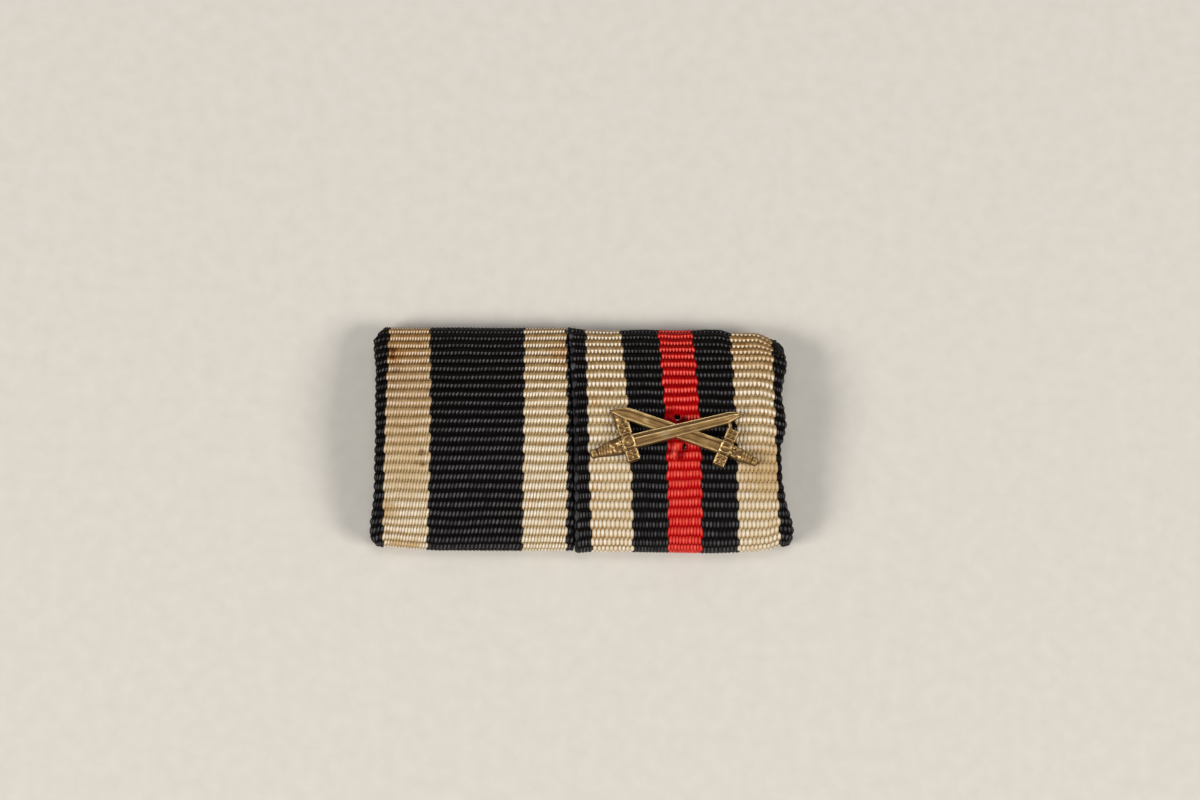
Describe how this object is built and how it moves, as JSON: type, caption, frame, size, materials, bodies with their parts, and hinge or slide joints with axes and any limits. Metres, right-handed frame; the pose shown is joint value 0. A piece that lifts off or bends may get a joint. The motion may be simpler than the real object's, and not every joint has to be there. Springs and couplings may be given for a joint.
{
  "type": "ribbon bar with crossed swords",
  "caption": "Cambered medal ribbon bar: striped ribbed ribbons side by side, wrapped round a metal plate, with small crossed swords on the right one and a brooch pin behind.",
  "frame": {"origin": "on the resting plane, under the middle of the bar's length and height", "axes": "+Z out of the ribbon face, +X along the bar to the viewer's right, +Y to the bar's top edge"},
  "size_m": [0.0307, 0.0166, 0.0054],
  "materials": {
    "plate_metal": "dull tinned sheet, lightly oxidised",
    "ribbon_left_cloth": "ribbed woven ribbon, black and aged cream stripes",
    "ribbon_right_cloth": "ribbed woven ribbon, black, aged cream and red stripes",
    "swords_brass": "stamped, toned brown in the recesses, worn bright on the high parts",
    "pin_steel": "plain drawn wire and sheet"
  },
  "bodies": {
    "root": {"bar_plate": "plate_metal", "ribbon_left": "ribbon_left_cloth", "ribbon_right": "ribbon_right_cloth", "crossed_swords": "swords_brass", "brooch_pin": "pin_steel"}
  },
  "joints": []
}
